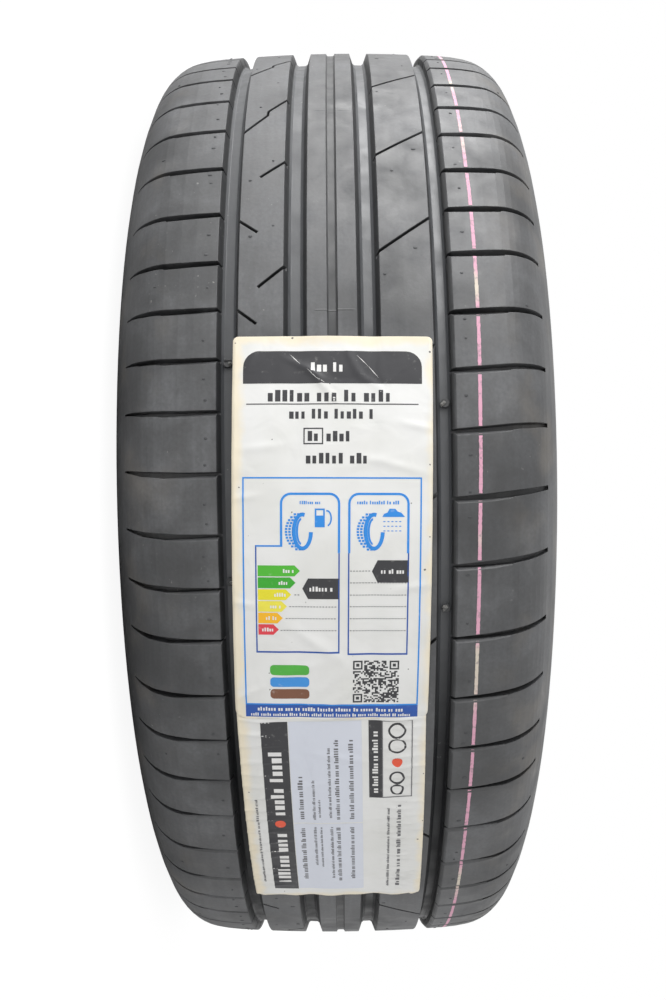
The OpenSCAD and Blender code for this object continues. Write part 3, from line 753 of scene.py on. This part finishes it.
def ring_of(cx, cy, rx, ry, stroke, start=0, end=360, steps=24):
    """An oval ring, or a part of one between two angles, as quads."""
    quads = []
    for i in range(steps):
        a = math.radians(start + (end - start) * i / steps)
        b = math.radians(start + (end - start) * (i + 1) / steps)
        quads.append([(cx + rx * math.cos(a), cy + ry * math.sin(a)),
                      (cx + rx * math.cos(b), cy + ry * math.sin(b)),
                      (cx + (rx - stroke) * math.cos(b), cy + (ry - stroke) * math.sin(b)),
                      (cx + (rx - stroke) * math.cos(a), cy + (ry - stroke) * math.sin(a))])
    return quads


# Strokes stand in steps of this share of their height, and words are set apart by a share of a step
STROKE_STEP = 0.62
WORD_GAP = 0.7


def greeked(left, low, right, high, seed, upright=False):
    """A line of plain strokes in word-like groups, which stands in for print."""
    rng = random.Random(seed)
    tall = (right - left) if upright else (high - low)
    start, end = (low, high) if upright else (left, right)
    pitch = tall * STROKE_STEP
    strokes = []
    spot = start
    while spot < end:
        count = rng.randint(2, 7)
        for _ in range(count):
            if spot + pitch * WORD_GAP > end:
                break
            top = tall * rng.choice((0.74, 0.74, 1.0))
            wide = pitch * rng.uniform(0.5, 0.74)
            if upright:
                strokes.append(box_of(right - top, spot, right, spot + wide))
            else:
                strokes.append(box_of(spot, low, spot + wide, low + top))
            spot += pitch
        spot += pitch * WORD_GAP
    return strokes


def arrow_left(left, low, right, high, point=3.2):
    """A tag that points left."""
    return [(left - point, (low + high) / 2), (left, low), (right, low), (right, high), (left, high)]


def dotted(left, right, y):
    """A dotted rule of a rating chart."""
    dots = []
    x = left
    while x + 1 < right:
        dots.append(box_of(x, y - 0.22, x + 1.0, y + 0.22))
        x += 1.7
    return dots


def wheel_sign(cx, cy):
    """Plain sign of a wheel seen at a slant: three columns of tread bars and an open ring."""
    shapes = []
    rows = 13
    half = 10.6
    pitch = 2 * half / rows
    for i in range(rows):
        low = cy - half + pitch * i
        high = low + 0.72 * pitch
        reach = math.sqrt(1 - (((low + high) / 2 - cy) / 11) ** 2)
        left = cx + 2 - 9.8 * reach
        for start, end in ((0, 1.4), (1.9, 3.3), (3.8, 4.8)):
            shapes.append(box_of(left + start, low, left + end, high))
    shapes += ring_of(cx + 2, cy, 5.9, half, 2.2, 75, 358)
    shapes += ring_of(cx + 1.6, cy, 3.2, 7.6, 1.2, 95, 262)
    return shapes


def scratch(x0, y0, x1, y1, wide=0.4):
    """A thin place along a fold, where the ink has cracked off."""
    x = (x0 + x1) / 2
    y = (y0 + y1) / 2
    long = math.hypot(x1 - x0, y1 - y0)
    aside_x = (y0 - y1) / long * wide / 2
    aside_y = (x1 - x0) / long * wide / 2
    return [(x0, y0), (x - aside_x, y - aside_y), (x1, y1), (x + aside_x, y + aside_y)]


def square_code(left, low, side, cells, seed):
    """A square of random cells with three plain corner frames. It encodes nothing."""
    rng = random.Random(seed)
    cell = side / cells
    corner = 7
    shapes = []
    for row in range(cells):
        for column in range(cells):
            last = cells - corner
            in_corner = (row < corner or row >= last) and (column < corner or column >= last)
            if in_corner and not (row < corner and column >= last):
                continue
            if rng.random() < 0.5:
                x = left + column * cell
                y = low + row * cell
                shapes.append(box_of(x, y, x + cell, y + cell))
    frame_w = 6 * cell
    for x, y in ((left, low), (left, low + side - frame_w), (left + side - frame_w, low + side - frame_w)):
        shapes += outline_of(x, y, x + frame_w, y + frame_w, cell)
        shapes.append(box_of(x + 2 * cell, y + 2 * cell, x + 4 * cell, y + 4 * cell))
    return shapes


# Lines of strokes on the upper sticker: [ink, left, low, right, high, seed]
UPPER_LINES = [("pale", -12, 90.6, 10, 96.0, 3), ("dark", -36, 73.6, 36, 80.2, 5),
               ("dark", -24, 63.9, 24, 69.4, 8), ("dark", -13.6, 51.4, -7.2, 57, 11),
               ("dark", -3.2, 51.2, 14, 57.0, 13), ("dark", -14.6, 38.9, 20, 44.8, 17),
               ("pale", -43, -105.9, 43, -103.4, 19), ("pale", -47, -109.3, 47, -107.3, 23),
               ("pale", -12.6, -32.6, 1.8, -29.8, 29), ("pale", 27.5, -22.4, 41, -19.8, 31),
               ("bright", -18, 16.4, -6, 18.2, 37), ("bright", 14, 16.4, 39, 18.4, 41)]
# Rules and fields of the upper sticker, the thin sides of its charts among them:
# [ink, left, low, right, high]
UPPER_FIELDS = [("dark", -48, 71.9, 48, 72.5), ("blue", -50, -110, 50, -102),
                ("bright", 3.3, -10.8, 4.6, -6.5), ("bright", -42.6, -7.4, -27.7, -6.5),
                ("blue", -43, -69, 4.4, -68), ("blue", -43, -68, -42.2, -6.5),
                ("blue", 3.6, -68, 4.4, -10.8), ("blue", 9, -70, 43.2, -69),
                ("blue", 9, -69, 9.8, -10.8), ("blue", 42.4, -69, 43.2, -10.8)]
# Folds along which the header's ink has cracked, from end to end
HEADER_FOLDS = [(-14.5, 92.5, -7.5, 85.5), (-9, 87, -4, 84.2), (13.3, 100.6, 20, 94),
                (19.4, 94.8, 26, 87), (-24, 101, -18, 95)]


def upper_print():
    """Printed shapes of the upper sticker by ink."""
    shapes = {"dark": [], "blue": [], "bright": [], "pale": [], "grey": []}
    # The header is round at its head and square at its foot
    header = rounded_box(-50, 83.9, 50, 102.7, 9)
    shapes["dark"].append([p for p in header if p[1] > 93] + [(-50, 83.9), (50, 83.9)])
    for ink, left, low, right, high, seed in UPPER_LINES:
        shapes[ink] += greeked(left, low, right, high, seed)
    for ink, left, low, right, high in UPPER_FIELDS:
        shapes[ink].append(box_of(left, low, right, high))
    for fold in HEADER_FOLDS:
        shapes["pale"].append(scratch(*fold))
    shapes["dark"] += outline_of(-16, 49.6, -5.0, 58.8, 0.7)
    shapes["bright"] += outline_of(-50, -102, 50, 31.4, 0.85)
    # Two charts, with a bright upper part and a tag each, a wheel sign and dotted rules
    shapes["bright"] += arch_of(-29, -6.5, 4.6, 22.8, 6, 1.3)
    shapes["bright"] += arch_of(9, -10.8, 43.2, 22.8, 6, 1.3)
    for tag in ((-13.4, -37, 4.2, -25.2), (25.6, -27.4, 43, -14.8)):
        shapes["dark"].append(arrow_left(*tag))
    for y, left in ((-34.7, -21), (-41.5, -24), (-48.4, -26), (-55.4, -29)):
        shapes["grey"] += dotted(left, -17 if y > -37 else 3.4, y)
    for y in (-20.9, -27.6, -34.6, -41.3, -48.3, -55.4):
        shapes["grey"] += dotted(10.2, 22 if y > -24 else 42.4, y)
    for cx in (-18.5, 21.5):
        shapes["bright"] += wheel_sign(cx, 1.2)
    # A pump with its hose, and a flat cloud with drops
    shapes["bright"].append(box_of(-9.6, 3.6, -4.0, 9.2))
    shapes["bright"] += outline_of(-9.6, 9.2, -4.0, 14.0, 0.9)
    shapes["bright"] += ring_of(-2.8, 8.6, 2.8, 4.6, 0.9, -80, 100)
    shapes["bright"].append([(28, 9.4), (40.6, 9.4), (38.6, 11.8), (36.6, 12.4), (35.2, 14.0), (32.0, 14.0),
                             (30.8, 11.8), (29.0, 11.2)])
    for i in range(15):
        x = 28.6 + 2.2 * (i % 5)
        y = 6.6 - 2.6 * (i // 5)
        shapes["bright"].append(box_of(x, y, x + 1.2, y + 0.5))
    shapes["dark"] += square_code(12.2, -100, 26.4, 29, 7)
    return shapes


# Lines of small print on the lower sticker: [x, low end, high end, height, seed]
LOWER_LINES = [(-21.8, 2, 40, 3.0, 47), (-13.4, 2, 36, 1.8, 53), (-9.9, 4, 20, 1.4, 59),
               (-3.4, 4, 60, 1.8, 61), (0.8, 2, 66, 2.6, 67), (9.4, 2, 66, 2.8, 71),
               (-21.8, -64, -5, 3.0, 73),
               (-13.4, -46, -5, 1.8, 79), (-9.4, -48, -5, 1.4, 83), (-3.0, -62, -5, 1.8, 89),
               (0.8, -66, -5, 2.6, 97), (9.4, -62, -5, 2.6, 101), (32.5, -74, 12, 1.6, 103),
               (38.5, -74, 14, 2.6, 107), (-48.6, -68, 22, 1.5, 109)]


def lower_print():
    """Printed shapes of the lower sticker by ink. Its lines run along the tread."""
    shapes = {"dark": [], "grey": [], "silver": [], "pale": [], "accent": []}
    shapes["dark"].append(box_of(-42, -78, -26, 78.6))
    shapes["pale"] += greeked(-38.5, -68, -30.5, -8, 37, upright=True)
    shapes["pale"] += greeked(-38.5, 6, -30.5, 60, 41, upright=True)
    shapes["silver"].append(box_of(-25.6, -77.6, 17.5, -2.2))
    shapes["silver"].append(box_of(-25.6, -1.2, 17.5, 78.6))
    shapes["dark"].append(box_of(21.6, 20.3, 29.4, 78.6))
    shapes["pale"] += greeked(23.6, 24, 27.0, 74, 43, upright=True)
    shapes["grey"] += outline_of(29.4, 20.3, 47.6, 78.6, 0.6)
    for x, low, high, tall, seed in LOWER_LINES:
        shapes["grey"] += greeked(x, low, x + tall, high, seed, upright=True)
    for cx, cy, r in ((38.5, 71, 5.4), (38.5, 60, 5.4), (38.5, 36, 4.8), (38.5, 27, 4.2)):
        shapes["dark"] += ring_of(cx, cy, r, r, 1.2)
    shapes["accent"] += [disc_of(-34, -2.2, 3.4, 3.4), disc_of(38.5, 48.2, 3.2, 3.2)]
    return shapes


def dressed_stickers(look):
    """The upper and the lower sticker, with their creases."""
    upper_folds = [(*c[:5], c[5] * look.crease) for c in UPPER_CREASES]
    lower_folds = [(*c[:5], c[5] * look.crease) for c in LOWER_CREASES + side_creases(21)]
    upper = Sticker("upper_sticker", -2.9, UPPER_TURN, -0.85, 112.0, UPPER_LEN, 0.75, upper_folds, 0.3)
    lower = Sticker("lower_sticker", -3.7, LOWER_TURN, 0.7, 110.6, LOWER_LEN, 0.3, lower_folds, 1.4)
    return upper, lower


# Thickness of the paper with its glue
PAPER_THICK = 0.25


class CARTYRE_OT_paper(bpy.types.Operator):
    """Lays the two creased paper stickers on the tread"""
    bl_idname = "cartyre.paper"
    bl_label = "Label paper"

    def execute(self, context):
        look = context.scene.cartyre_stickers
        upper, lower = dressed_stickers(look)
        # Margins that have gone cream: left, right, foot and head. The last number is the torn ripple
        for sticker, margins, ripple in ((upper, (5.0, 2.0, 0.5, 4.5), 0.4),
                                         (lower, (5.0, 2.5, 3.0, 0.0), 1.8)):
            paper = label_paper(sticker.name.replace("_", " ") + " paper", sticker, margins, look)
            sheet = laid_piece(sticker.name + "_paper", sticker, [sheet_outline(sticker, ripple)], 0,
                               paper)
            thick = sheet.modifiers.new("thickness", "SOLIDIFY")
            thick.thickness = PAPER_THICK * MM
            thick.offset = -1
            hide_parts(sticker.name)
        return {"FINISHED"}


# Inks: [name, colour, colour where it is worn, slot, CAD node that it replaces]
INKS = {
    "dark": ("dark label ink", "#37373a", "#c9c7c3", "dark_ink", "dark_print"),
    "blue": ("blue label ink", "#2453a6", "#c9d2e2", "blue_ink", "blue_print"),
    "bright": ("bright blue label ink", "#2a8ade", "#d5e4f2", "blue_ink", None),
    "pale": ("knocked-out label print", "#e6e5e3", "#8f8d8a", "paper", None),
    "grey": ("thin grey label print", "#6c6c6f", "#c8c8c8", "dark_ink", None),
    "silver": ("silver-grey label ink", "#d6dae4", "#e4e4e6", "silver_ink", "silver_print"),
    "accent": ("orange-red label ink", "#e8593a", "#efe3dc", "scale_ink", None),
}
# Heights over the paper of an ink, and of an ink that may lie over another
INK_LIFT = 0.08
OVER_LIFT = 0.15
LIFTED = ("pale", "grey", "accent")
# Coloured inks show this where they are worn
WORN = "#efece6"
# Rating bars from the top: [colour, place of the tip]
SCALE_BARS = (("#4db52f", -17.9), ("#36a52a", -20.4), ("#e6dc2a", -22.9), ("#ebe04c", -25.3),
              ("#f6b81f", -27.7), ("#de3f4b", -30.0))
BAR_LEFT = -41.6
BAR_TOP = -17.9
BAR_PITCH = 6.8
BAR_HIGH = 6.2
BAR_POINT = 3.1
STRIPE_COLOURS = ("#4fae3f", "#3f93dd", "#7d523c")
STRIPE_TOP = -76.5
STRIPE_PITCH = 7.6
STRIPE_HIGH = 6.2


class CARTYRE_OT_print(bpy.types.Operator):
    """Prints the stickers: fields, frames, plain signs, rating bars and strokes in place of words"""
    bl_idname = "cartyre.print"
    bl_label = "Label print"

    def execute(self, context):
        upper, lower = dressed_stickers(context.scene.cartyre_stickers)
        inks = {key: printed_ink(*row[:3]) for key, row in INKS.items()}
        for sticker, shapes in ((upper, upper_print()), (lower, lower_print())):
            for key, polygons in shapes.items():
                slot, node = INKS[key][3:]
                over = OVER_LIFT if key in LIFTED else INK_LIFT
                piece = laid_piece(f"{sticker.name}_{key}", sticker, polygons, over, inks[key])
                if node:
                    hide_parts(node)
        words = []
        for i, (colour, tip) in enumerate(SCALE_BARS):
            high = BAR_TOP - BAR_PITCH * i
            low = high - BAR_HIGH
            neck = tip - BAR_POINT
            bar = [(BAR_LEFT, low), (neck, low), (tip, (low + high) / 2), (neck, high), (BAR_LEFT, high)]
            ink = printed_ink(f"scale ink {i + 1}", colour, WORN)
            piece = laid_piece(f"scale_bar_{i + 1}", upper, [bar], INK_LIFT, ink)
            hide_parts("scale_print")
            foot = high - 4.2
            words += greeked(tip - 9.5, foot, tip - 3, foot + 2.2, 51 + i)
        laid_piece("scale_words", upper, words, OVER_LIFT, inks["pale"])
        for i, colour in enumerate(STRIPE_COLOURS):
            ink = printed_ink(f"plain stripe ink {i + 1}", colour, WORN)
            high = STRIPE_TOP - STRIPE_PITCH * i
            stripe = rounded_box(-35.4, high - STRIPE_HIGH, -12.9, high, 2.2)
            laid_piece(f"plain_stripe_{i + 1}", upper, [stripe], INK_LIFT, ink)
        return {"FINISHED"}


# Painted line

# The line wanders: [turn, across]
LINE_PLACES = [(-180, 79.4), (-53.5, 78.7), (-38, 78.6), (-23.7, 79.4), (-13, 79.5), (-3.8, 79.9),
               (5.1, 80.7), (17.1, 81.4), (23.3, 81.3), (30.3, 81.0), (35.8, 80.3), (42.6, 79.9),
               (52.5, 78.9), (180, 79.4)]
# The line is drawn in steps of this turn, with edges ragged by this much, this far over the rubber,
# and it stops where the rubber lies deeper than a slot's edge
LINE_STEP = 0.22
LINE_RAGGED = 0.12
PAINT_LIFT = 0.08
SLOT_EDGE = 2.2


def line_across(turn):
    """Place of the line's middle across the tread."""
    for (t0, a0), (t1, a1) in zip(LINE_PLACES, LINE_PLACES[1:]):
        if t0 <= turn <= t1:
            s = (turn - t0) / (t1 - t0)
            s = s * s * (3 - 2 * s)
            return a0 + (a1 - a0) * s
    return LINE_PLACES[-1][1]


class CARTYRE_OT_line(bpy.types.Operator):
    """Paints the thin wandering line round the right shoulder blocks"""
    bl_idname = "cartyre.line"
    bl_label = "Painted line"

    def execute(self, context):
        look = context.scene.cartyre_line
        tree = tread_tree()
        rng = random.Random(12)
        verts, faces, previous = [], [], None
        for i in range(int(360 / LINE_STEP) + 1):
            turn = -180 + i * LINE_STEP
            middle = line_across(turn)
            half = look.width / MM / 2 + rng.uniform(-LINE_RAGGED, LINE_RAGGED)
            row = []
            for share in (-1, -0.33, 0.33, 1):
                across = middle + share * half
                radius, _ = surface(tree, across, turn)
                row.append((across, turn, radius))
            deepest = face_radius(middle) - SLOT_EDGE
            if any(r[2] is None or r[2] < deepest for r in row):
                previous = None
                continue
            base = len(verts)
            verts += [at(a, t, r + PAINT_LIFT) for a, t, r in row]
            if previous is not None:
                faces += [(previous + k, previous + k + 1, base + k + 1, base + k) for k in range(3)]
            previous = base
        piece = make_object("painted_line", verts, faces, marking_paint(look))
        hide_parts("marking_line")
        return {"FINISHED"}


# Vent marks

# Vents stand in columns: [across, share of a block, out of how many blocks one has it]
VENT_COLUMNS = [(-115.5, 0.3, 2), (-104, 0.75, 3), (-74, 0.22, 1), (-73.5, 0.78, 1), (74.5, 0.2, 1),
                (74, 0.8, 1), (112, 0.35, 3), (117, 0.8, 2)]
# Columns on the ribs, with this many vents each
RIB_COLUMNS = (-48, -35, 33, 48)
RIB_VENTS = 30
# Pegs on the floors of the outer grooves, which come again each quarter turn: [across, turn]
PEGS = ((-60, 13.5), (-60, -6.5), (60.5, 9.5), (60.5, -9.2))
PEG_CRUMBS = 5
# A stub needs rubber on all sides at this distance that falls no more than this across and along
STUB_ROOM = 2.0
STUB_FALL_ACROSS = 1.6
STUB_FALL_ALONG = 0.5


class CARTYRE_OT_vents(bpy.types.Operator):
    """Adds the clipped vent stubs on the blocks and ribs, and pale crumbs that paint a highlight on the pegs
    """
    bl_idname = "cartyre.vents"
    bl_label = "Vent stubs"

    def execute(self, context):
        look = context.scene.cartyre_tyre
        tree = tread_tree()
        rng = random.Random(4)
        places = []
        for across, share, every in VENT_COLUMNS:
            for i in range(0, BLOCKS, every):
                turn = 360 * (i + share) / BLOCKS + rng.uniform(-0.7, 0.7)
                places.append((across + rng.uniform(-1.2, 1.2), turn))
        for across in RIB_COLUMNS:
            for i in range(RIB_VENTS):
                places.append((across + rng.uniform(-4, 4), 360 / RIB_VENTS * i + rng.uniform(-4, 4)))
        verts, faces = [], []
        for across, turn in places:
            size = look.vent_d / MM / 2 * rng.uniform(0.7, 1.1)
            stub(tree, across, turn, size, rng.uniform(0.15, 0.4), rng.uniform(1.0, 1.9), verts, faces)
        # Stubs are cut off close to the tread, and are matt and a little darker than the moulded face
        clipped = mottled_rubber("clipped vent rubber", 0.6, 1.55, look.stub_dark, look.stub_pale)
        make_object("vent_stubs", verts, faces, clipped)
        verts, faces = [], []
        for across, turn in PEGS:
            for quarter in range(4):
                for _ in range(PEG_CRUMBS):
                    aside = rng.uniform(-1.1, 1.1)
                    along = rng.uniform(-1.1, 1.1) / DEGREE
                    crumb(tree, across + aside, turn + 90 * quarter + along, rng, verts, faces)
        # Painted highlight: pale mottled crumbs on the pegs' tops stand in for the light that the pegs catch
        torn = mottled_rubber("torn peg rubber", 0.42, 1.8, look.stub_pale, look.chalk_and_peg_highlight)
        make_object("peg_highlight_crumbs", verts, faces, torn, smooth=False)
        return {"FINISHED"}


def crumb(tree, across, turn, rng, verts, faces):
    """A small ragged crumb of rubber on a peg's top, which carries the pegs' painted highlight."""
    middle, _ = surface(tree, across, turn)
    centre = at(across, turn, middle + 0.3)
    base = len(verts)
    for way in ((1, 0, 0), (0, 1, 0), (-1, 0, 0), (0, -1, 0), (0, 0, 1), (0, 0, -1)):
        verts.append(centre + Vector(way) * rng.uniform(0.7, 1.5) * MM)
    for a, b in ((0, 1), (1, 2), (2, 3), (3, 0)):
        faces += [(base + a, base + b, base + 4), (base + b, base + a, base + 5)]


def stub(tree, across, turn, radius, high, long, verts, faces):
    """A low oval stub on the tread. It is left out where a cut runs under it."""
    middle, normal = surface(tree, across, turn)
    if middle is None or normal.dot(spoke(turn)) < 0.5:
        return
    for side in (-STUB_ROOM, STUB_ROOM):
        near, _ = surface(tree, across + side, turn)
        along, _ = surface(tree, across, turn + side / DEGREE)
        if near is None or along is None:
            return
        if abs(near - middle) > STUB_FALL_ACROSS or abs(along - middle) > STUB_FALL_ALONG:
            return
    centre = at(across, turn, middle)
    u = normal.cross(Vector((0, 0, 1))).normalized()
    v = normal.cross(u).normalized()
    base = len(verts)
    count = 10
    for share, rise in ((1.0, -0.2), (0.95, high * 0.8), (0.6, high)):
        for k in range(count):
            a = 2 * math.pi * k / count
            out = (u * math.cos(a) + v * long * math.sin(a)) * radius * share * MM
            verts.append(centre + out + normal * rise * MM)
    for ring in (0, 1):
        for k in range(count):
            n = (k + 1) % count
            faces.append((base + ring * count + k, base + ring * count + n,
                          base + (ring + 1) * count + n, base + (ring + 1) * count + k))
    faces.append([base + 2 * count + k for k in range(count)])


# Panel and registration

class CARTYRE_PT_panel(bpy.types.Panel):
    """Lists the steps that finish the tyre"""
    bl_label = "Car Tyre"
    bl_idname = "CARTYRE_PT_panel"
    bl_space_type = "VIEW_3D"
    bl_region_type = "UI"
    bl_category = "Car Tyre"

    def draw(self, context):
        for operator in OPERATORS:
            self.layout.operator(operator.bl_idname)


OPERATORS = (CARTYRE_OT_studio, CARTYRE_OT_rubber, CARTYRE_OT_vents, CARTYRE_OT_paper, CARTYRE_OT_print,
             CARTYRE_OT_line)
GROUPS = {"cartyre_tyre": TyreLook, "cartyre_stickers": StickerLook, "cartyre_line": LineLook,
          "cartyre_studio": StudioLook}


def register():
    for name, group in GROUPS.items():
        bpy.utils.register_class(group)
        setattr(bpy.types.Scene, name, bpy.props.PointerProperty(type=group))
    for operator in OPERATORS:
        bpy.utils.register_class(operator)
    bpy.utils.register_class(CARTYRE_PT_panel)


def unregister():
    bpy.utils.unregister_class(CARTYRE_PT_panel)
    for operator in reversed(OPERATORS):
        bpy.utils.unregister_class(operator)
    for name, group in GROUPS.items():
        delattr(bpy.types.Scene, name)
        bpy.utils.unregister_class(group)


def main():
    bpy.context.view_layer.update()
    register()
    bpy.context.scene.view_settings.view_transform = "Standard"
    bpy.ops.cartyre.studio()
    bpy.ops.cartyre.rubber()
    bpy.ops.cartyre.vents()
    bpy.ops.cartyre.paper()
    bpy.ops.cartyre.print()
    bpy.ops.cartyre.line()
    bpy.context.view_layer.update()


if __name__ == "__main__":
    main()
